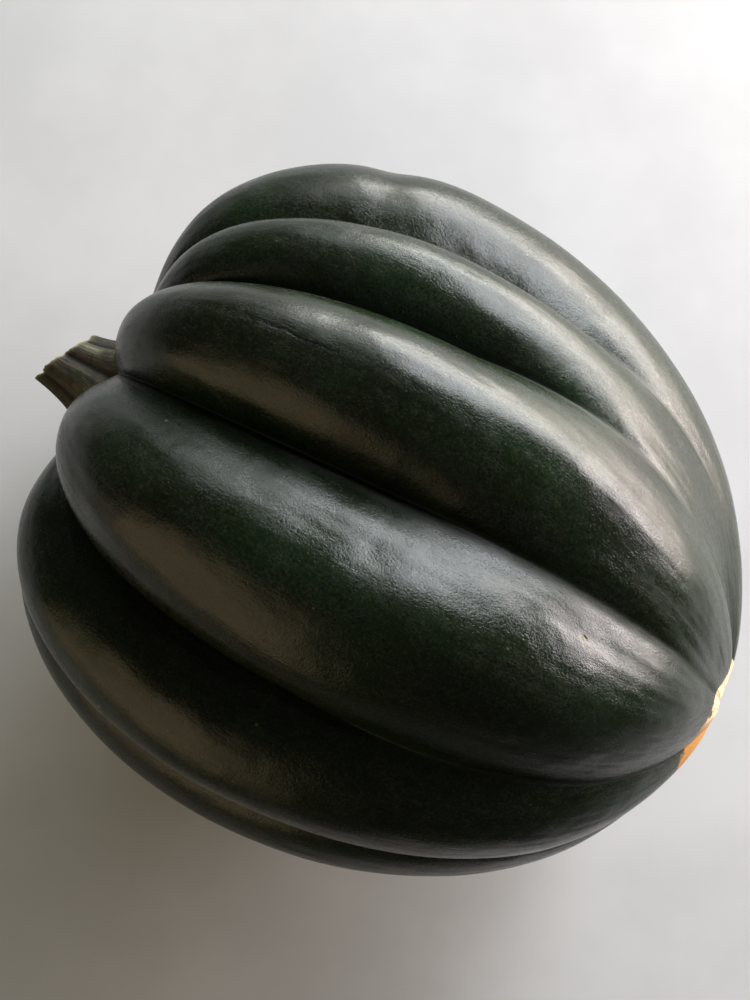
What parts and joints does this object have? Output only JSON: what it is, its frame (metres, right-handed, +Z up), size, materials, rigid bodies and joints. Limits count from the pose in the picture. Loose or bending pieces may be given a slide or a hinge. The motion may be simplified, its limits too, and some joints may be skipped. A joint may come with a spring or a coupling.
{
  "type": "acorn squash",
  "caption": "Whole dark green acorn squash lying on its side, a plump deeply ribbed fruit with a short ridged dry stem in a shallow hollow, resting on small flat spots.",
  "frame": {"origin": "under the middle of the whole squash, on the surface that it rests on", "axes": "+Z up, +X from the stem end towards the blossom end, +Y to the left when looking along +X"},
  "size_m": [0.127, 0.1142, 0.1093],
  "materials": {
    "skin": "smooth, hard and slightly waxy, very dark green skin with a soft sheen",
    "dry_stem": "dry, fibrous and matt, tan and olive"
  },
  "bodies": {
    "root": {"fruit": "skin", "stem": "dry_stem"}
  },
  "joints": []
}
